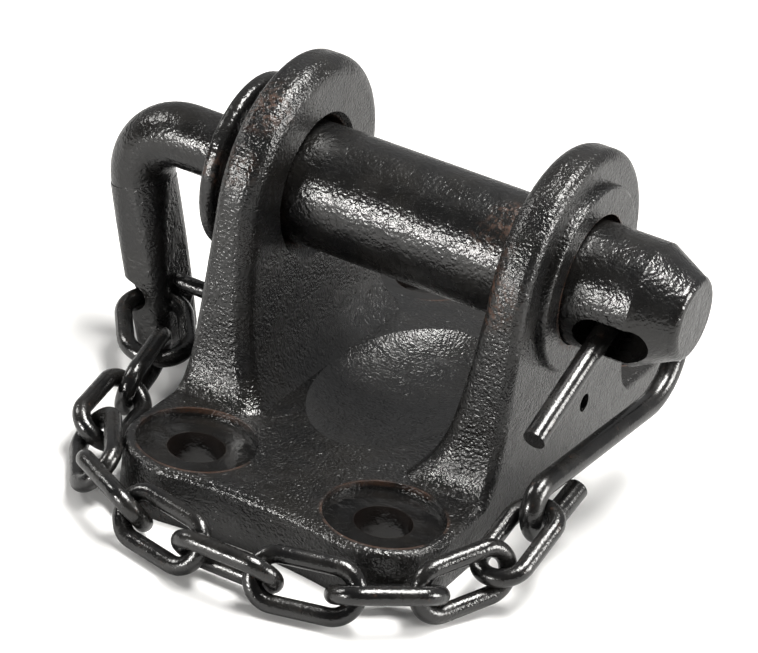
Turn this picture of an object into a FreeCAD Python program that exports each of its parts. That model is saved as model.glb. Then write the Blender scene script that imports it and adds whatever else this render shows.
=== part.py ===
"""Pin trailer coupling: a cast housing with two ears, a forged drop-handle pin,
a spring wire clip through the pin's end, and a chain from the handle to the clip.

Frame: the origin is the centre of the bolt pattern on the mounting face.
X runs along the pin towards the clip, Y runs towards the back and Z points up.
"""
import FreeCAD, Part
import math
import os

import Sketcher

SIZES = {
    # base plate and its bolt pattern
    "hole_pitch_x": 55.0,
    "hole_pitch_y": 120.0,
    "bolt_hole_dia": 15.0,
    "lobe_radius": 18.5,
    "waist_depth": 2.6,
    "plate_thickness": 15.0,
    "plate_edge_round": 2.0,
    "spotface_dia": 31.5,
    "spotface_depth": 2.3,
    "dish_length": 74.0,
    "dish_width": 43.0,
    "dish_depth": 5.0,
    # ears
    "axis_height": 63.6,
    "ear_gap": 66.5,
    "ear_thickness": 11.5,
    "ear_radius": 34.0,
    "ear_inner_round": 5.0,
    "ear_outer_round": 3.0,
    "ear_inner_taper": 4.7,
    "ear_outer_draft": 1.2,
    "ear_spread": 3.0,
    "foot_flare_in": 7.0,
    "foot_flare_side": 4.5,
    "boss_radius": 25.0,
    "boss_height": 2.5,
    "boss_round": 1.0,
    "bore_countersink": 1.5,
    "mark_hole_dia": 5.0,
    "mark_hole_depth": 4.0,
    "mark_hole_y": 13.0,
    "mark_hole_height": 22.0,
    # pin
    "pin_dia": 33.0,
    "pin_clearance": 1.0,
    "pin_rest_gap": 0.3,
    "pin_end_reach": 76.8,
    "cone_length": 12.0,
    "cone_end_dia": 23.0,
    "cone_end_round": 2.0,
    "collar_dia": 48.5,
    "collar_thickness": 4.5,
    "collar_round": 1.8,
    "collar_gap": 3.5,
    "arm_dia": 17.6,
    "arm_root_round": 2.0,
    "handle_reach": 90.0,
    "handle_lean": 16.0,
    "bend_radius": 13.0,
    "handle_thickness": 10.4,
    "handle_width": 19.2,
    "handle_corner": 4.0,
    "handle_end_round": 3.0,
    "handle_floor_gap": 0.5,
    "chain_hole_dia": 9.4,
    "chain_hole_wall": 1.2,
    "chain_hole_height": 16.2,
    "chain_hole_turn": 36.0,
    "peg_dia": 4.5,
    "peg_height": 20.7,
    "peg_depth": 7.0,
    "peg_clearance": 0.5,
    # clip
    "clip_wire_dia": 6.0,
    "clip_slot_length": 20.0,
    "clip_slot_width": 13.0,
    "clip_slot_reach": 60.5,
    "clip_reach": 56.6,
    "clip_rest_gap": 0.3,
    "clip_slope": 25.4,
    "clip_hang": 8.0,
    "leg_length": 48.5,
    "leg_back": 14.0,
    "clip_bend_radius": 9.0,
    "clip_bow_depth": 39.5,
    "clip_bow_radius": 18.0,
    "clip_bow_slope": 25.0,
    "bow_length": 51.5,
    "eye_radius": 6.4,
    "eye_turn": 195.5,
    "tail_length": 15.5,
    # chain
    "link_wire_dia": 4.8,
    "link_inner_length": 21.6,
    "link_inner_width": 7.6,
    "end_link_inner_width": 12.0,
    "chain_side_gap": 0.4,
}

# How far each link, from the handle to the clip, is rolled about its long axis from lying flat.
LINK_ROLLS = (0, 80, 145, 50, 130, 60, 130, 60, 150, 75, 0)


class Size:
    """A length that knows both its value and the sheet expression that gives it."""

    def __init__(self, value, text):
        self.value = value
        self.text = text

    @staticmethod
    def of(other):
        return other if isinstance(other, Size) else Size(float(other), repr(float(other)))

    def join(self, sign, other, value):
        return Size(value, f"({self.text} {sign} {other.text})")

    def __add__(self, other):
        other = Size.of(other)
        return self.join("+", other, self.value + other.value)

    def __radd__(self, other):
        return Size.of(other) + self

    def __sub__(self, other):
        other = Size.of(other)
        return self.join("-", other, self.value - other.value)

    def __rsub__(self, other):
        return Size.of(other) - self

    def __mul__(self, other):
        other = Size.of(other)
        return self.join("*", other, self.value * other.value)

    def __rmul__(self, other):
        return Size.of(other) * self

    def __truediv__(self, other):
        other = Size.of(other)
        return self.join("/", other, self.value / other.value)

    def __neg__(self):
        return Size(-self.value, f"(-1 * {self.text})")


ZERO = Size(0.0, "0")


def cos(angle):
    return Size(math.cos(math.radians(angle.value)), f"cos({angle.text} * 1 deg)")


def sin(angle):
    return Size(math.sin(math.radians(angle.value)), f"sin({angle.text} * 1 deg)")


def tan(angle):
    return Size(math.tan(math.radians(angle.value)), f"tan({angle.text} * 1 deg)")


doc = FreeCAD.newDocument("PinTrailerCoupling")
sheet = doc.addObject("Spreadsheet::Sheet", "Sizes")
for row, (alias, number) in enumerate(SIZES.items(), start=1):
    sheet.set(f"A{row}", alias)
    sheet.set(f"B{row}", str(number))
    sheet.setAlias(f"B{row}", alias)
doc.recompute()


def size(alias):
    return Size(SIZES[alias], f"Sizes.{alias}")


# Sizes that several pieces share.
hole_x = size("hole_pitch_x") / 2
hole_y = size("hole_pitch_y") / 2
half_width = hole_x + size("lobe_radius")
half_length = hole_y + size("lobe_radius")
plate_top = size("plate_thickness")
axis_z = size("axis_height")
ear_inner = size("ear_gap") / 2
ear_outer = ear_inner + size("ear_thickness")
boss_face = ear_outer + size("boss_height")
pin_radius = size("pin_dia") / 2
bore_radius = pin_radius + size("pin_clearance")
bore_z = axis_z + size("pin_clearance") - size("pin_rest_gap")
wire_radius = size("clip_wire_dia") / 2


def origin_plane(body, role):
    return next(item for item in body.Origin.OriginFeatures if item.Role == role)


def bind(obj, **expressions):
    for path, value in expressions.items():
        obj.setExpression(path.replace("__", "."), value.text)


def new_body(label):
    body = doc.addObject("PartDesign::Body", label)
    body.Label = label
    return body


def new_sketch(body, name, role, shift=(ZERO, ZERO, ZERO), turn=None):
    """A sketch on one of the body's own planes, shifted and turned within that plane's frame."""
    sketch = body.newObject("Sketcher::SketchObject", name)
    sketch.AttachmentSupport = (origin_plane(body, role), [""])
    sketch.MapMode = "FlatFace"
    if turn:
        axis, angle = turn
        rotation = FreeCAD.Rotation(FreeCAD.Vector(*axis), angle.value)
        sketch.AttachmentOffset = FreeCAD.Placement(FreeCAD.Vector(), rotation)
        bind(sketch, AttachmentOffset__Rotation__Angle=angle)
    bind(
        sketch,
        AttachmentOffset__Base__x=shift[0],
        AttachmentOffset__Base__y=shift[1],
        AttachmentOffset__Base__z=shift[2],
    )
    return sketch


def place(sketch, geometry, point, x, y):
    """Tie one point of a sketch to its x and y, measured from the sketch's origin."""
    for kind, axis, value in (("DistanceX", -2, x), ("DistanceY", -1, y)):
        if value is ZERO:
            sketch.addConstraint(Sketcher.Constraint("PointOnObject", geometry, point, axis))
        else:
            number = sketch.addConstraint(Sketcher.Constraint(kind, -1, 1, geometry, point, value.value))
            sketch.setExpression(f"Constraints[{number}]", value.text)


def add_circle(sketch, x, y, radius):
    centre = FreeCAD.Vector(x.value, y.value, 0)
    number = sketch.addGeometry(Part.Circle(centre, FreeCAD.Vector(0, 0, 1), radius.value), False)
    place(sketch, number, 3, x, y)
    tie = sketch.addConstraint(Sketcher.Constraint("Radius", number, radius.value))
    sketch.setExpression(f"Constraints[{tie}]", radius.text)


def arc_between(start, end, radius, turn):
    """The short arc from start to end that turns left (+1) or right (-1)."""
    chord = end - start
    height = math.sqrt(max(radius**2 - chord.Length**2 / 4, 0.0))
    left = FreeCAD.Vector(-chord.y, chord.x, 0).normalize()
    centre = (start + end) * 0.5 + left * (height * turn)
    first, last = (start, end) if turn > 0 else (end, start)
    angles = [math.atan2(p.y - centre.y, p.x - centre.x) for p in (first, last)]
    circle = Part.Circle(centre, FreeCAD.Vector(0, 0, 1), radius)
    return Part.ArcOfCircle(circle, angles[0], angles[1])


def add_outline(sketch, corners, closed=True):
    """Lines and arcs through the corners: (x, y) ends a line, (x, y, radius, turn) ends an arc."""
    steps = range(len(corners)) if closed else range(1, len(corners))
    joints = []
    for step in steps:
        before, corner = corners[step - 1], corners[step]
        start = FreeCAD.Vector(before[0].value, before[1].value, 0)
        end = FreeCAD.Vector(corner[0].value, corner[1].value, 0)
        if len(corner) == 2:
            number = sketch.addGeometry(Part.LineSegment(start, end), False)
            joints.append((number, 1, 2, corner))
            continue
        radius, turn = corner[2], corner[3]
        number = sketch.addGeometry(arc_between(start, end, radius.value, turn), False)
        joints.append((number, 1, 2, corner) if turn > 0 else (number, 2, 1, corner))
    for index, (number, first, last, corner) in enumerate(joints):
        previous = joints[index - 1]
        if closed or index:
            sketch.addConstraint(Sketcher.Constraint("Coincident", previous[0], previous[2], number, first))
        else:
            place(sketch, number, first, corners[0][0], corners[0][1])
        place(sketch, number, last, corner[0], corner[1])
        if len(corner) > 2:
            tie = sketch.addConstraint(Sketcher.Constraint("Radius", number, corner[2].value))
            sketch.setExpression(f"Constraints[{tie}]", corner[2].text)


def rounded_box(x_low, x_high, half_y, round_low, round_high):
    """Corners of a rectangle whose low and high X ends have their own corner radii."""
    return [
        (x_low + round_low, -half_y),
        (x_high - round_high, -half_y),
        (x_high, -half_y + round_high, round_high, 1),
        (x_high, half_y - round_high),
        (x_high - round_high, half_y, round_high, 1),
        (x_low + round_low, half_y),
        (x_low, half_y - round_low, round_low, 1),
        (x_low, -half_y + round_low),
        (x_low + round_low, -half_y, round_low, 1),
    ][1:]


def feature(body, kind, name, sketch, **expressions):
    item = body.newObject(f"PartDesign::{kind}", name)
    item.Profile = sketch
    bind(item, **expressions)
    return item


def plate_outline():
    """Four lobes round the bolt holes, with the front and back edges drawn in between them."""
    lobe = size("lobe_radius")
    waist = size("waist_depth")
    reach = (hole_x * hole_x + waist * waist) / (waist * 2)
    hollow = reach - lobe
    x = hole_x - hole_x * lobe / reach
    y = hole_y + (reach - waist) * lobe / reach
    return [
        (half_width, hole_y),
        (x, y, lobe, 1),
        (-x, y, hollow, -1),
        (-half_width, hole_y, lobe, 1),
        (-half_width, -hole_y),
        (-x, -y, lobe, 1),
        (x, -y, hollow, -1),
        (half_width, -hole_y, lobe, 1),
    ]


def ear_section(body, number, share):
    """Level section of the right ear, at a share of the height from the plate to the pin's axis."""
    rise = Size.of(1.0 - share)
    flare = Size.of((1.0 - share) ** 6)
    side_flare = Size.of((1.0 - share) ** 10)
    inner = ear_inner - size("ear_inner_taper") * rise - size("foot_flare_in") * flare
    outer = ear_outer + size("ear_outer_draft") * rise
    half = size("ear_radius") + size("ear_spread") * rise + size("foot_flare_side") * side_flare
    level = plate_top + (axis_z - plate_top) * share
    sketch = new_sketch(body, f"EarSection{number}", "XY_Plane", (ZERO, ZERO, level))
    add_outline(sketch, rounded_box(inner, outer, half, size("ear_inner_round"), size("ear_outer_round")))
    return sketch


def ear_top_profile():
    """Half of the ear's disc, from the pin's axis out to its rounded rim."""
    radius = size("ear_radius")
    inner_round = size("ear_inner_round")
    outer_round = size("ear_outer_round")
    return [
        (ear_inner, ZERO),
        (ear_outer, ZERO),
        (ear_outer, radius - outer_round),
        (ear_outer - outer_round, radius, outer_round, 1),
        (ear_inner + inner_round, radius),
        (ear_inner, radius - inner_round, inner_round, 1),
    ]


def boss_profile():
    """Half of the round boss on the ear's outer face, started inside the ear."""
    radius = size("boss_radius")
    edge = size("boss_round")
    root = ear_outer - size("ear_thickness") / 2
    return [
        (root, ZERO),
        (boss_face, ZERO),
        (boss_face, radius - edge),
        (boss_face - edge, radius, edge, 1),
        (root, radius),
    ]


def bore_profile():
    """Half of the space that the pin's bore clears, with a countersink on each ear's inner face."""
    sink = size("bore_countersink")
    past = boss_face + size("boss_height")
    inside = ear_inner - size("boss_height")
    wide = bore_radius + sink + size("boss_height")
    return [
        (-past, ZERO),
        (past, ZERO),
        (past, bore_radius),
        (ear_inner + sink, bore_radius),
        (inside, wide),
        (-inside, wide),
        (-ear_inner - sink, bore_radius),
        (-past, bore_radius),
    ]


def revolve(body, kind, name, sketch):
    item = feature(body, kind, name, sketch)
    item.ReferenceAxis = (sketch, ["H_Axis"])
    item.Angle = 360
    return item


def build_housing():
    body = new_body("housing")
    outline = new_sketch(body, "PlateOutline", "XY_Plane")
    add_outline(outline, plate_outline())
    plate = feature(body, "Pad", "Plate", outline, Length=plate_top)
    doc.recompute()

    top_edges = [
        f"Edge{number}"
        for number, edge in enumerate(plate.Shape.Edges, start=1)
        if edge.BoundBox.ZMin > plate_top.value / 2
    ]
    rounding = body.newObject("PartDesign::Fillet", "PlateEdge")
    rounding.Base = (plate, top_edges)
    bind(rounding, Radius=size("plate_edge_round"))

    shares = [step / 8 for step in range(-1, 9)]
    sections = [ear_section(body, number, share) for number, share in enumerate(shares)]
    web = feature(body, "AdditiveLoft", "EarWeb", sections[0])
    web.Sections = sections[1:]

    disc_sketch = new_sketch(body, "EarTopProfile", "XZ_Plane", (ZERO, axis_z, ZERO))
    add_outline(disc_sketch, ear_top_profile())
    disc = revolve(body, "Revolution", "EarTop", disc_sketch)

    boss_sketch = new_sketch(body, "BossProfile", "XZ_Plane", (ZERO, bore_z, ZERO))
    add_outline(boss_sketch, boss_profile())
    boss = revolve(body, "Revolution", "Boss", boss_sketch)

    other_ear = body.newObject("PartDesign::Mirrored", "OtherEar")
    other_ear.Originals = [web, disc, boss]
    other_ear.MirrorPlane = (origin_plane(body, "YZ_Plane"), [""])
    body.Tip = other_ear
    doc.recompute()

    bore_sketch = new_sketch(body, "BoreProfile", "XZ_Plane", (ZERO, bore_z, ZERO))
    add_outline(bore_sketch, bore_profile())
    revolve(body, "Groove", "PinBore", bore_sketch)

    holes = new_sketch(body, "BoltHoles", "XY_Plane", (ZERO, ZERO, plate_top))
    faces = new_sketch(body, "Spotfaces", "XY_Plane", (ZERO, ZERO, plate_top))
    for x in (-hole_x, hole_x):
        for y in (-hole_y, hole_y):
            add_circle(holes, x, y, size("bolt_hole_dia") / 2)
            add_circle(faces, x, y, size("spotface_dia") / 2)
    drilled = feature(body, "Pocket", "BoltHole", holes)
    drilled.Type = "ThroughAll"
    feature(body, "Pocket", "Spotface", faces, Length=size("spotface_depth"))

    dish_rise = size("dish_depth") * 0.6
    dish_height = dish_rise + size("dish_depth")
    rim_share = math.sqrt(1 - (dish_rise.value / dish_height.value) ** 2)
    dish = body.newObject("PartDesign::SubtractiveEllipsoid", "FloorDish")
    dish.AttachmentSupport = (origin_plane(body, "XY_Plane"), [""])
    dish.MapMode = "FlatFace"
    bind(
        dish,
        AttachmentOffset__Base__z=plate_top + dish_rise,
        Radius1=dish_height,
        Radius2=size("dish_width") / 2 / rim_share,
        Radius3=size("dish_length") / 2 / rim_share,
    )

    peg_hole = new_sketch(body, "PegHole", "YZ_Plane", (ZERO, ZERO, -boss_face))
    add_circle(peg_hole, ZERO, size("peg_height"), size("peg_dia") / 2 + size("peg_clearance"))
    peg_drill = feature(body, "Pocket", "PegDrill", peg_hole)
    peg_drill.Reversed = True
    travel = size("collar_gap") + size("peg_clearance")
    bind(peg_drill, Length=size("boss_height") + size("peg_depth") + travel)

    mark = new_sketch(body, "MarkHole", "YZ_Plane", (ZERO, ZERO, boss_face))
    add_circle(mark, size("mark_hole_y"), size("mark_hole_height"), size("mark_hole_dia") / 2)
    feature(body, "Pocket", "MarkDrill", mark, Length=size("boss_height") + size("mark_hole_depth"))
    return body


def pin_profile():
    """Half of the turned part of the pin: cone, shank, collar and the arm's root."""
    reach = size("pin_end_reach")
    end_radius = size("cone_end_dia") / 2
    end_round = size("cone_end_round")
    collar = size("collar_dia") / 2
    edge = size("collar_round")
    arm = size("arm_dia") / 2
    root = size("arm_root_round")
    inner_face = -boss_face - size("collar_gap")
    outer_face = inner_face - size("collar_thickness")
    return [
        (reach, ZERO),
        (reach, end_radius - end_round),
        (reach - end_round, end_radius, end_round * 1.2, 1),
        (reach - size("cone_length"), pin_radius),
        (inner_face, pin_radius),
        (inner_face, collar - edge),
        (inner_face - edge, collar, edge, 1),
        (outer_face + edge, collar),
        (outer_face, collar - edge, edge, 1),
        (outer_face, arm + root),
        (outer_face - root, arm, root, -1),
        (arm_end(), arm),
        (arm_end(), ZERO),
    ]


def arm_end():
    """X where the arm's straight part ends and its bend starts."""
    turned = (size("handle_lean") + 90) / 2
    return size("bend_radius") * tan(turned) - size("handle_reach")


def bend_end():
    """X and Z, from the pin's axis, where the bend ends and the handle starts."""
    lean = size("handle_lean")
    radius = size("bend_radius")
    return arm_end() - radius * cos(lean), -radius - radius * sin(lean)


def handle_length():
    """Length of the handle below the bend, so that its lower end just clears the ground."""
    lean = size("handle_lean")
    corner = size("handle_thickness") / 2 * sin(lean) + size("handle_floor_gap")
    return (axis_z - corner + bend_end()[1]) / cos(lean)


def handle_section(body, number, along, thickness, width, corner):
    lean = size("handle_lean")
    x, z = bend_end()
    shift = (x + along * sin(lean), ZERO, z - along * cos(lean))
    sketch = new_sketch(body, f"HandleSection{number}", "XY_Plane", shift, ((0, 1, 0), -lean))
    add_outline(sketch, rounded_box(-thickness / 2, thickness / 2, width / 2, corner, corner))
    return sketch


def build_pin():
    body = new_body("pin")
    bind(body, Placement__Base__z=axis_z)
    profile = new_sketch(body, "PinProfile", "XZ_Plane")
    add_outline(profile, pin_profile())
    revolve(body, "Revolution", "Shank", profile)

    arm = size("arm_dia")
    section = new_sketch(body, "ArmSection", "YZ_Plane", (ZERO, ZERO, arm_end()))
    add_circle(section, ZERO, ZERO, arm / 2)
    hub = -size("bend_radius")
    line = Part.LineSegment(FreeCAD.Vector(-10, hub.value, 0), FreeCAD.Vector(10, hub.value, 0))
    axis = section.addGeometry(line, True)
    place(section, axis, 1, -arm / 2, hub)
    place(section, axis, 2, arm / 2, hub)
    bend = feature(body, "Revolution", "ArmBend", section, Angle=size("handle_lean") + 90)
    bend.ReferenceAxis = (section, ["Axis0"])
    doc.recompute()
    if bend.Shape.BoundBox.XMin > -size("handle_reach").value:
        bend.Reversed = True

    length = handle_length()
    flat = size("handle_thickness")
    wide = size("handle_width")
    round_corner = arm * 0.47
    sections = [
        handle_section(body, 0, ZERO, arm, arm, round_corner),
        handle_section(body, 1, length * 0.4, (arm + flat) / 2, (arm + wide) / 2, size("handle_corner") * 1.2),
        handle_section(body, 2, length, flat, wide, size("handle_corner")),
    ]
    handle = feature(body, "AdditiveLoft", "Handle", sections[0])
    handle.Sections = sections[1:]
    doc.recompute()

    lowest = handle.Shape.BoundBox.ZMin + size("handle_thickness").value * sin(size("handle_lean")).value
    end_edges = [
        f"Edge{number}"
        for number, edge in enumerate(handle.Shape.Edges, start=1)
        if edge.BoundBox.ZMax < lowest + size("handle_floor_gap").value
    ]
    end_round = body.newObject("PartDesign::Fillet", "HandleEnd")
    end_round.Base = (handle, end_edges)
    bind(end_round, Radius=size("handle_end_round"))

    hole_x_place, hole_y_place = chain_hole()
    shift = (hole_x_place, size("chain_hole_height") - axis_z, -hole_y_place)
    hole = new_sketch(body, "ChainHole", "XZ_Plane", shift, ((0, 1, 0), size("chain_hole_turn") - 90))
    add_circle(hole, ZERO, ZERO, size("chain_hole_dia") / 2)
    drill = feature(body, "Pocket", "ChainHoleDrill", hole, Length=size("handle_width") * 2)
    drill.Midplane = True

    peg_start = handle_x(axis_z - size("peg_height"))
    peg = new_sketch(body, "PegSection", "YZ_Plane", (ZERO, ZERO, peg_start))
    add_circle(peg, ZERO, size("peg_height") - axis_z, size("peg_dia") / 2)
    feature(body, "Pad", "Peg", peg, Length=-peg_start - ear_outer + size("peg_depth"))

    slot = new_sketch(body, "ClipSlot", "XY_Plane", turn=((1, 0, 0), size("clip_slope") - 90))
    add_outline(slot, slot_outline())
    cross = feature(body, "Pocket", "ClipSlotDrill", slot, Length=size("pin_dia") * 2)
    cross.Midplane = True
    return body


def chain_hole():
    """X and Y of the hole drilled slantwise through the handle's front inner corner."""
    inset = size("chain_hole_wall") + size("chain_hole_dia") / 2
    inset = (inset + size("handle_corner") * (math.sqrt(2) - 1)) / math.sqrt(2)
    middle = handle_x(axis_z - size("chain_hole_height"))
    inner_face = middle + size("handle_thickness") / 2 / cos(size("handle_lean"))
    return inner_face - inset, inset - size("handle_width") / 2


def slot_outline():
    """The oblong slot across the pin that the clip's leg goes through."""
    radius = size("clip_slot_width") / 2
    half = size("clip_slot_length") / 2 - radius
    middle = size("clip_slot_reach")
    return [
        (middle + half, -radius),
        (middle + half + radius, ZERO, radius, 1),
        (middle + half, radius, radius, 1),
        (middle - half, radius),
        (middle - half - radius, ZERO, radius, 1),
        (middle - half, -radius, radius, 1),
    ]


def handle_x(drop):
    """X of the handle's middle line at a drop below the pin's axis."""
    return drop * tan(size("handle_lean")) - size("handle_reach")


def clip_path():
    """Middle line of the clip's wire: x runs back along the leg, y is minus the depth of the bow."""
    bend = size("clip_bend_radius")
    bow = size("clip_bow_radius")
    slope = size("clip_bow_slope")
    eye = size("eye_radius")
    back = size("leg_back")
    low = bow - size("clip_bow_depth")
    bow_x = back + bend - bow
    turn_x = bow_x - bow * sin(slope)
    turn_y = low - bow * cos(slope)
    front_x = turn_x - size("bow_length") * cos(slope)
    front_y = turn_y + size("bow_length") * sin(slope)
    half_turn = size("eye_turn") - 180
    hub_x = front_x - eye * sin(slope)
    hub_y = front_y - eye * cos(slope)
    tip_x = hub_x - eye * cos(slope)
    tip_y = hub_y + eye * sin(slope)
    out = slope - half_turn
    tail_x = hub_x - eye * sin(out)
    tail_y = hub_y - eye * cos(out)
    return [
        (-size("leg_length"), ZERO),
        (back, ZERO),
        (back + bend, -bend, bend, -1),
        (back + bend, low),
        (bow_x, low - bow, bow, -1),
        (turn_x, turn_y, bow, -1),
        (front_x, front_y),
        (tip_x, tip_y, eye, 1),
        (tail_x, tail_y, eye, 1),
        (tail_x + size("tail_length") * cos(out), tail_y - size("tail_length") * sin(out)),
    ], (hub_x, hub_y)


def clip_placement():
    """The clip's own frame: its leg along x on the slot's lower wall, its bow hanging along -y."""
    slope = math.radians(SIZES["clip_slope"])
    hang = math.radians(SIZES["clip_hang"])
    back = FreeCAD.Vector(0, math.cos(slope), math.sin(slope))
    down = FreeCAD.Vector(0, math.sin(slope), -math.cos(slope))
    bow = down * math.cos(hang) + FreeCAD.Vector(math.sin(hang), 0, 0)
    rotation = FreeCAD.Rotation(back, -bow, back.cross(-bow), "XYZ")
    drop = (SIZES["clip_slot_width"] - SIZES["clip_wire_dia"]) / 2 - SIZES["clip_rest_gap"]
    return FreeCAD.Placement(FreeCAD.Vector(SIZES["clip_reach"], 0, SIZES["axis_height"]) + down * drop, rotation)


def build_clip():
    body = new_body("clip")
    body.Placement = clip_placement()
    path = new_sketch(body, "ClipPath", "XY_Plane")
    add_outline(path, clip_path()[0], closed=False)
    section = new_sketch(body, "ClipSection", "YZ_Plane", (ZERO, ZERO, -size("leg_length")))
    add_circle(section, ZERO, ZERO, wire_radius)
    wire = feature(body, "AdditivePipe", "ClipWire", section)
    wire.Spine = path
    return body


def link_body(label, inner_width):
    """One oval link round its own centre, with its long axis along x in the plane z = 0."""
    body = new_body(label)
    radius = (inner_width + size("link_wire_dia")) / 2
    straight = (size("link_inner_length") - inner_width) / 2
    path = new_sketch(body, f"{label}_path", "XY_Plane")
    add_outline(
        path,
        [
            (straight, -radius),
            (straight + radius, ZERO, radius, 1),
            (straight, radius, radius, 1),
            (-straight, radius),
            (-straight - radius, ZERO, radius, 1),
            (-straight, -radius, radius, 1),
        ],
    )
    section = new_sketch(body, f"{label}_section", "YZ_Plane")
    add_circle(section, radius, ZERO, size("link_wire_dia") / 2)
    wire = feature(body, "AdditivePipe", f"{label}_wire", section)
    wire.Spine = path
    return body


def chain_ends():
    """The middle of the handle's chain hole and the middle of the clip's eye."""
    x, y = chain_hole()
    hub_x, hub_y = clip_path()[1]
    eye = clip_placement().multVec(FreeCAD.Vector(hub_x.value, hub_y.value, 0))
    return FreeCAD.Vector(x.value, y.value, SIZES["chain_hole_height"]), eye


def chain_route():
    """Middle line of the chain: from the handle, round the two front lobes and up to the clip."""
    hole, eye = chain_ends()
    wire = SIZES["link_wire_dia"]
    half_link = (SIZES["link_inner_width"] + wire) / 2
    lying = half_link + wire / 2
    clear = half_link + wire / 2 + SIZES["chain_side_gap"]
    ring = SIZES["lobe_radius"] + clear
    points = [hole, hole + FreeCAD.Vector(12.5, -15, -4)]
    points.append(FreeCAD.Vector(-half_width.value - 12.6, -0.727 * hole_y.value, lying + 0.9))
    for side, bearings in ((-1, (196, 251)), (1, (-35, -23))):
        for bearing in bearings:
            angle = math.radians(bearing)
            x = side * hole_x.value + ring * math.cos(angle)
            points.append(FreeCAD.Vector(x, -hole_y.value + ring * math.sin(angle), lying))
    points.append(eye + FreeCAD.Vector(0, -20.5, -7))
    points.append(eye)
    curve = Part.BSplineCurve()
    curve.interpolate(points)
    return curve


def link_placement(middle, along, across):
    across = across - along * along.dot(across)
    return FreeCAD.Placement(middle, FreeCAD.Rotation(along, across, along.cross(across), "XYZ"))


def build_chain():
    half = (SIZES["link_inner_length"] + SIZES["link_wire_dia"]) / 2
    route = chain_route()
    pitch = (route.length() - 2 * half) / (len(LINK_ROLLS) - 1)
    if pitch > SIZES["link_inner_length"]:
        raise RuntimeError("the chain is too short for its route")
    hole, eye = chain_ends()

    def point(distance):
        return route.value(route.parameterAtDistance(distance))

    links = []
    for index, roll in enumerate(LINK_ROLLS):
        width = size("link_inner_width") if index else size("end_link_inner_width")
        body = link_body(f"chain_link_{index + 1:02d}", width)
        middle = half + pitch * index
        start, end = point(middle - pitch / 2), point(middle + pitch / 2)
        if index == 0:
            along = (end - hole).normalize()
            turn = math.radians(SIZES["chain_hole_turn"])
            axis = FreeCAD.Vector(math.cos(turn), math.sin(turn), 0)
            body.Placement = link_placement(hole + along * half, along, axis)
        elif index == len(LINK_ROLLS) - 1:
            along = (eye - start).normalize()
            axis = clip_placement().Rotation.multVec(FreeCAD.Vector(0, 0, 1))
            body.Placement = link_placement(eye - along * half, along, axis)
        else:
            along = (end - start).normalize()
            level = FreeCAD.Vector(0, 0, 1).cross(along)
            across = FreeCAD.Rotation(along, roll).multVec(level)
            body.Placement = link_placement((start + end) * 0.5, along, across)
        links.append(body)
    return links


def check(bodies):
    """Stop unless every object was made and every piece is one valid solid."""
    doc.recompute()
    failed = [item.Name for item in doc.Objects if {"Invalid", "Error"} & set(item.State)]
    if failed:
        raise RuntimeError("objects failed: " + ", ".join(failed))
    for body in bodies:
        shape = body.Shape
        if shape.isNull() or not shape.isValid() or len(shape.Solids) != 1:
            raise RuntimeError(f"{body.Label} is not one valid solid")


def main():
    bodies = [build_housing(), build_pin(), build_clip()] + build_chain()
    check(bodies)
    os.makedirs("parts", exist_ok=True)
    for body in bodies:
        body.Shape.exportStep(os.path.join("parts", f"{body.Label}.step"))
        box = body.Shape.BoundBox
        print(f"{body.Label}: volume {body.Shape.Volume:.0f}, z {box.ZMin:.2f} to {box.ZMax:.2f}")


main()
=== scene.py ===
import bpy
from mathutils import Matrix, Vector


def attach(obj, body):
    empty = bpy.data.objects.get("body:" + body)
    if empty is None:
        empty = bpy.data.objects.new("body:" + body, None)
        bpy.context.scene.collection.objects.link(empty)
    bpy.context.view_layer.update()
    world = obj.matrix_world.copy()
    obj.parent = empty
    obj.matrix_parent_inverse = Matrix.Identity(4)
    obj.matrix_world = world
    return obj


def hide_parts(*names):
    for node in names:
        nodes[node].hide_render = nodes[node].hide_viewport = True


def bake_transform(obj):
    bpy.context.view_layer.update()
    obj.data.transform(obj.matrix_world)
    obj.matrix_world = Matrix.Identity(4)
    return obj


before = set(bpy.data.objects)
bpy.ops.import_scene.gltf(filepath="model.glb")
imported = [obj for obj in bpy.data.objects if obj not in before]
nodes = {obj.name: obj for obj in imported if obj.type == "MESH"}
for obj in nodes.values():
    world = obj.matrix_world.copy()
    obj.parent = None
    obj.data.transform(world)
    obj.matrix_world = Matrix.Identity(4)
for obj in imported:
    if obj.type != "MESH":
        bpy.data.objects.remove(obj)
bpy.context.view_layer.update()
scene = bpy.context.scene

# Places on the part that the finishes refer to, in metres in the row frame.
HOLES = [(x, y) for x in (-0.0275, 0.0275) for y in (-0.060, 0.060)]
AXIS_Z = 0.0636
SPOTFACE_RADIUS = 0.01575
SPOTFACE_FLOOR = 0.0127
BORE_RADIUS = 0.0175
BOLT_HOLE_RADIUS = 0.0075

# Brown spots where the paint is thin or knocked off: place, radius, strength.
HOUSING_SCUFFS = [
    ((-0.0405, -0.020, 0.0905), 0.0100, 0.45),
    ((-0.0415, -0.031, 0.0770), 0.0080, 0.30),
    ((0.0345, -0.0330, 0.0680), 0.0110, 0.70),
    ((0.0345, -0.0300, 0.0800), 0.0060, 0.25),
    ((-0.0275, -0.0780, 0.0050), 0.0080, 0.35),
]
PIN_SCUFFS = [
    ((0.0265, -0.0085, 0.0775), 0.0075, 0.55),
    ((0.0225, -0.0135, 0.0720), 0.0060, 0.25),
    ((-0.0520, -0.0230, 0.0700), 0.0060, 0.40),
]

BLACK = (0.0055, 0.0055, 0.0057, 1.0)
BLACK_WARM = (0.0095, 0.0088, 0.0080, 1.0)
RUST = (0.1150, 0.0450, 0.0210, 1.0)
PRIMER = (0.0700, 0.0380, 0.0240, 1.0)

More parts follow.
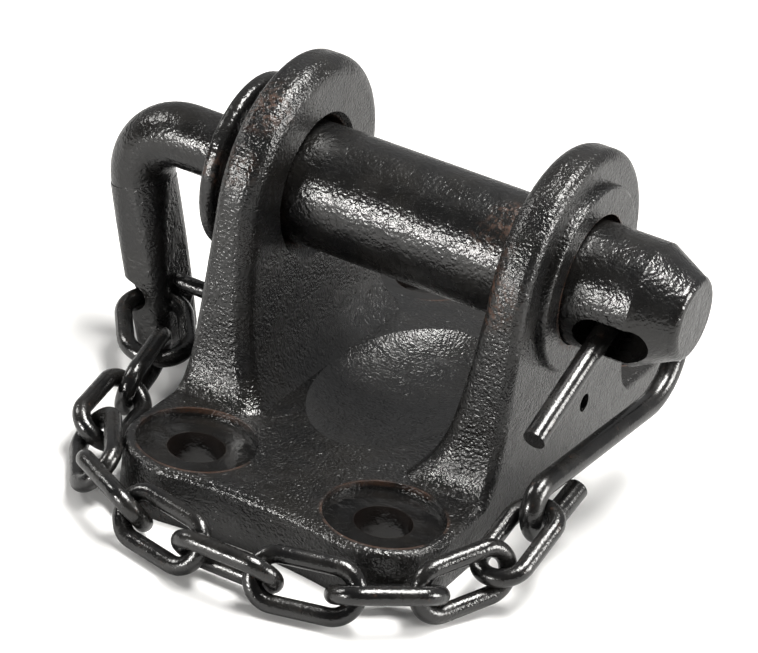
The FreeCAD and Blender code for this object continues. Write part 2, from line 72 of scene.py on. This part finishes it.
# How many lumps of the skin there are to a metre, how high its waves and its grain stand.
HOUSING_LUMPS, HOUSING_WAVES, HOUSING_GRAIN = 1250.0, 0.000264, 0.00040
PIN_LUMPS, PIN_WAVES, PIN_GRAIN = 950.0, 0.000264, 0.00028
CLIP_GRAIN = 0.00025
CHAIN_GRAIN = 0.00035

# Gloss: the smoothest and roughest of the paint, how much a spotface takes off, what rust adds.
PAINT_GLOSS = (0.21, 0.30)
SPOTFACE_GLOSS = 0.11
RUST_ROUGHNESS = 0.32
WIRE_GLOSS = (0.17, 0.30)
SPOTFACE_GRAIN = 0.16


class Graph:
    """A short way of writing a material's nodes."""

    def __init__(self, name):
        self.material = bpy.data.materials.new(name)
        self.material.use_nodes = True
        self.tree = self.material.node_tree
        self.shader = self.tree.nodes["Principled BSDF"]
        place = self.tree.nodes.new("ShaderNodeTexCoord").outputs["Object"]
        split = self.tree.nodes.new("ShaderNodeSeparateXYZ")
        self.tree.links.new(place, split.inputs[0])
        self.place = place
        self.x, self.y, self.z = split.outputs

    def put(self, socket, value):
        if isinstance(value, bpy.types.NodeSocket):
            self.tree.links.new(value, socket)
        else:
            socket.default_value = value

    def math(self, operation, *values):
        node = self.tree.nodes.new("ShaderNodeMath")
        node.operation = operation
        for socket, value in zip(node.inputs, values):
            self.put(socket, value)
        return node.outputs[0]

    def add(self, a, b):
        return self.math("ADD", a, b)

    def times(self, a, b):
        return self.math("MULTIPLY", a, b)

    def ramp(self, value, low, high, at_low=0.0, at_high=1.0):
        """A smooth step from at_low to at_high as value goes from low to high."""
        node = self.tree.nodes.new("ShaderNodeMapRange")
        node.interpolation_type = "SMOOTHSTEP"
        for socket, item in zip(node.inputs, (value, low, high, at_low, at_high)):
            self.put(socket, item)
        return node.outputs[0]

    def noise(self, per_metre, detail=2.0, roughness=0.5, shift=0.0):
        place = self.place
        if shift:
            move = self.tree.nodes.new("ShaderNodeVectorMath")
            move.operation = "ADD"
            self.put(move.inputs[0], self.place)
            move.inputs[1].default_value = (shift, shift, shift)
            place = move.outputs[0]
        node = self.tree.nodes.new("ShaderNodeTexNoise")
        self.put(node.inputs["Vector"], place)
        node.inputs["Scale"].default_value = per_metre
        node.inputs["Detail"].default_value = detail
        node.inputs["Roughness"].default_value = roughness
        return node.outputs[0]

    def distance(self, centre):
        node = self.tree.nodes.new("ShaderNodeVectorMath")
        node.operation = "DISTANCE"
        self.put(node.inputs[0], self.place)
        node.inputs[1].default_value = centre
        return node.outputs["Value"]

    def from_axis(self, a, b, at_a, at_b):
        """Distance from a straight axis that crosses the plane of a and b at a point."""
        across = self.math("POWER", self.math("SUBTRACT", a, at_a), 2.0)
        along = self.math("POWER", self.math("SUBTRACT", b, at_b), 2.0)
        return self.math("SQRT", self.add(across, along))

    def mix(self, share, a, b):
        node = self.tree.nodes.new("ShaderNodeMix")
        node.data_type = "RGBA"
        self.put(node.inputs["Factor"], share)
        self.put(node.inputs["A"], a)
        self.put(node.inputs["B"], b)
        return node.outputs["Result"]

    def bump(self, height, distance, below=None):
        node = self.tree.nodes.new("ShaderNodeBump")
        self.put(node.inputs["Height"], height)
        self.put(node.inputs["Distance"], distance)
        node.inputs["Strength"].default_value = 1.0
        if below is not None:
            self.put(node.inputs["Normal"], below)
        return node.outputs["Normal"]

    def spots(self, places, grain):
        """Ragged spots round the given places."""
        total = None
        for centre, radius, strength in places:
            near = self.ramp(self.distance(centre), 0.25 * radius, radius, strength, 0.0)
            total = near if total is None else self.math("MAXIMUM", total, near)
        ragged = self.ramp(grain, 0.46, 0.62)
        return self.times(total, ragged)


def spotface_masks(g):
    """(on a spotface, on its rim, inside a bolt hole)."""
    nearest = None
    for x, y in HOLES:
        away = g.from_axis(g.x, g.y, x, y)
        nearest = away if nearest is None else g.math("MINIMUM", nearest, away)
    low = g.ramp(g.z, SPOTFACE_FLOOR + 0.0002, SPOTFACE_FLOOR + 0.0008, 1.0, 0.0)
    face = g.times(g.ramp(nearest, SPOTFACE_RADIUS - 0.0004, SPOTFACE_RADIUS, 1.0, 0.0), low)
    outer = g.ramp(nearest, SPOTFACE_RADIUS + 0.0002, SPOTFACE_RADIUS + 0.0010, 1.0, 0.0)
    inner = g.ramp(nearest, SPOTFACE_RADIUS - 0.0005, SPOTFACE_RADIUS - 0.0001)
    high = g.ramp(g.z, SPOTFACE_FLOOR + 0.0006, SPOTFACE_FLOOR + 0.0016)
    bore = g.ramp(nearest, BOLT_HOLE_RADIUS, BOLT_HOLE_RADIUS + 0.0004, 1.0, 0.0)
    return face, g.times(g.times(outer, inner), high), bore


def cast_paint(name, lumps_per_metre, waves, grain, scuffs, housing):
    """Gloss black paint on a rough cast or forged skin."""
    g = Graph(name)
    fine = g.noise(1.9 * lumps_per_metre, 1.0, 0.5)
    middle = g.noise(lumps_per_metre, 1.0, 0.5, 0.13)
    broad = g.noise(210, 2.0, 0.5, 0.31)
    dapple = g.noise(60, 3.0, 0.6, 0.57)
    skin = g.add(g.times(middle, 0.75), g.times(fine, 0.25))
    smooth = 1.0
    brown = g.spots(scuffs, g.noise(620, 4.0, 0.65, 0.77))
    if housing:
        face, rim, hole = spotface_masks(g)
        smooth = g.ramp(face, 0.0, 1.0, 1.0, SPOTFACE_GRAIN)
        worn = g.times(rim, g.ramp(dapple, 0.42, 0.62, 0.0, 0.40))
        from_pin = g.from_axis(g.y, g.z, 0.0, AXIS_Z)
        in_bore = g.ramp(from_pin, BORE_RADIUS, BORE_RADIUS + 0.0012, 0.75, 0.0)
        brown = g.math("MAXIMUM", brown, g.math("MAXIMUM", worn, g.times(hole, 0.04)))
        brown = g.math("MAXIMUM", brown, g.times(in_bore, g.ramp(middle, 0.35, 0.6)))
    tint = g.mix(g.ramp(dapple, 0.35, 0.7), BLACK, BLACK_WARM)
    rust = g.mix(g.ramp(fine, 0.35, 0.65), PRIMER, RUST)
    g.put(g.shader.inputs["Base Color"], g.mix(brown, tint, rust))
    gloss = g.ramp(broad, 0.3, 0.7, *PAINT_GLOSS)
    if housing:
        gloss = g.math("SUBTRACT", gloss, g.times(face, SPOTFACE_GLOSS))
    g.put(g.shader.inputs["Roughness"], g.add(gloss, g.times(brown, RUST_ROUGHNESS)))
    g.shader.inputs["Specular IOR Level"].default_value = 0.55
    g.shader.inputs["Coat Weight"].default_value = 0.35
    g.shader.inputs["Coat Roughness"].default_value = 0.20
    wavy = g.bump(broad, waves)
    pitted = g.bump(skin, g.times(smooth, grain), wavy)
    g.put(g.shader.inputs["Normal"], pitted)
    g.put(g.shader.inputs["Coat Normal"], pitted)
    return g.material


def wire_paint(name, grain):
    """Smoother gloss black on wire: the clip and the chain's links."""
    g = Graph(name)
    broad = g.noise(160, 3.0, 0.55, 0.21)
    fine = g.noise(1500, 2.0, 0.5)
    worn = g.ramp(g.noise(420, 4.0, 0.7, 0.43), 0.62, 0.74, 0.0, 0.55)
    tint = g.mix(g.ramp(broad, 0.35, 0.7), BLACK, BLACK_WARM)
    g.put(g.shader.inputs["Base Color"], g.mix(worn, tint, PRIMER))
    g.put(g.shader.inputs["Roughness"], g.ramp(broad, 0.3, 0.7, *WIRE_GLOSS))
    g.shader.inputs["Specular IOR Level"].default_value = 0.6
    g.shader.inputs["Coat Weight"].default_value = 0.4
    g.shader.inputs["Coat Roughness"].default_value = 0.10
    surface = g.bump(g.add(g.times(broad, 0.6), g.times(fine, 0.25)), grain)
    g.put(g.shader.inputs["Normal"], surface)
    g.put(g.shader.inputs["Coat Normal"], surface)
    return g.material


def finish_node(obj, material):
    """Gives a piece its finish in place of any it had."""
    obj.data.materials.clear()
    obj.data.materials.append(material)


housing_paint = cast_paint(
    "housing_black", HOUSING_LUMPS, HOUSING_WAVES, HOUSING_GRAIN, HOUSING_SCUFFS, True
)
pin_paint = cast_paint("pin_black", PIN_LUMPS, PIN_WAVES, PIN_GRAIN, PIN_SCUFFS, False)
clip_paint = wire_paint("clip_black", CLIP_GRAIN)
chain_paint = wire_paint("chain_black", CHAIN_GRAIN)
finish_node(nodes["housing"], housing_paint)
finish_node(nodes["pin"], pin_paint)
finish_node(nodes["clip"], clip_paint)

# The chain: its first link goes with the handle and its last hangs from the clip's eye. The
# first link's copy is attached to the pin; the links beside the ends become still copies in
# place.
links = ["chain_link_%02d" % number for number in range(1, 12)]
for link in links:
    finish_node(nodes[link], chain_paint)


def follower(link):
    """A copy of a link that stands for it where it has to move."""
    copy = nodes[link].copy()
    copy.data = nodes[link].data.copy()
    copy.name = link + "_moving"
    copy.parent = None
    for key in list(copy.keys()):
        del copy[key]
    scene.collection.objects.link(copy)
    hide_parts(link)
    return copy


def give_way(names):
    """Puts a still copy, with its placing baked into the mesh, in place of each of the given
    links.
    """
    for link in names:
        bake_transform(follower(link))


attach(follower(links[0]), "pin")
give_way(links[1:4])
give_way(links[8:9])
give_way(links[9:11])

# The studio: a floor that the camera sees as white and reflections see as grey, and four soft
# lights: above, on the right, low in front and on the left.
FLOOR_SIZE = 8.0
FLOOR_GREYS = ((0.42, 0.42, 0.42, 1.0), (0.44, 0.44, 0.44, 1.0))
FLOOR_WHITE = (0.98, 0.98, 0.98, 1.0)
LIGHT_COLOUR = (1.0, 0.985, 0.955)
bpy.ops.mesh.primitive_plane_add(size=FLOOR_SIZE, location=(0.0, 0.0, 0.0))
floor = bpy.context.object
floor.name = "floor"
white = Graph("floor_white")
seen = white.tree.nodes.new("ShaderNodeLightPath").outputs["Is Camera Ray"]
plain = white.mix(white.noise(3.0), *FLOOR_GREYS)
white.put(white.shader.inputs["Base Color"], white.mix(seen, plain, FLOOR_WHITE))
white.shader.inputs["Roughness"].default_value = 0.6
white.shader.inputs["Specular IOR Level"].default_value = 0.2
finish_node(floor, white.material)


def soft_light(name, place, width, height, watts):
    """A soft box that points at the part."""
    data = bpy.data.lights.new(name, "AREA")
    data.shape = "RECTANGLE"
    data.size = width
    data.size_y = height
    data.energy = watts
    data.color = LIGHT_COLOUR
    light = bpy.data.objects.new(name, data)
    light.location = place
    light.rotation_euler = (Vector(CENTRE) - Vector(place)).to_track_quat("-Z", "Y").to_euler()
    scene.collection.objects.link(light)


CENTRE = (0.0, 0.0, 0.04)
soft_light("top", (0.25, 0.12, 1.30), 0.8, 0.5, 30.0)
soft_light("right", (1.10, 0.25, 0.45), 0.5, 0.5, 13.0)
soft_light("front", (-0.50, -1.15, 0.28), 0.42, 0.20, 11.0)
soft_light("left", (-1.10, -0.20, 0.80), 0.30, 0.40, 5.0)

# The room is darker in front of the part than behind it.
world = bpy.data.worlds.new("studio")
world.use_nodes = True
tree = world.node_tree
background = tree.nodes["Background"]
coords = tree.nodes.new("ShaderNodeTexCoord")
split = tree.nodes.new("ShaderNodeSeparateXYZ")
tree.links.new(coords.outputs["Generated"], split.inputs[0])
grade = tree.nodes.new("ShaderNodeMapRange")
tree.links.new(split.outputs["Y"], grade.inputs["Value"])
for key, value in (("From Min", -0.5), ("From Max", 0.8), ("To Min", 0.03), ("To Max", 0.28)):
    grade.inputs[key].default_value = value
tree.links.new(grade.outputs[0], background.inputs["Strength"])
background.inputs["Color"].default_value = (1.0, 1.0, 1.0, 1.0)
scene.world = world
scene.view_settings.view_transform = "Standard"

# The camera of the photograph: seen from the front and above, from the clip's side.
RIGHT = Vector((0.868, 0.481, 0.123))
UP = Vector((-0.333, 0.379, 0.863))
BACK = Vector((0.369, -0.791, 0.489))
DISTANCE = 1.0
LENS = 179.9
SENSOR = 36.0
TARGET = Vector((0.0, 0.0, 0.0127))
AIM_RIGHT, AIM_UP = -0.00652, 0.01782
look = (-BACK + AIM_RIGHT * RIGHT + AIM_UP * UP).normalized()
across = look.cross(UP).normalized()
upward = across.cross(look)
camera = bpy.data.objects.new("camera", bpy.data.cameras.new("camera"))
camera.data.lens = LENS
camera.data.sensor_width = SENSOR
camera.data.clip_start = 0.01
turn = Matrix((across, upward, -look)).transposed().to_4x4()
camera.matrix_world = Matrix.Translation(TARGET + BACK * DISTANCE) @ turn
scene.collection.objects.link(camera)
scene.camera = camera
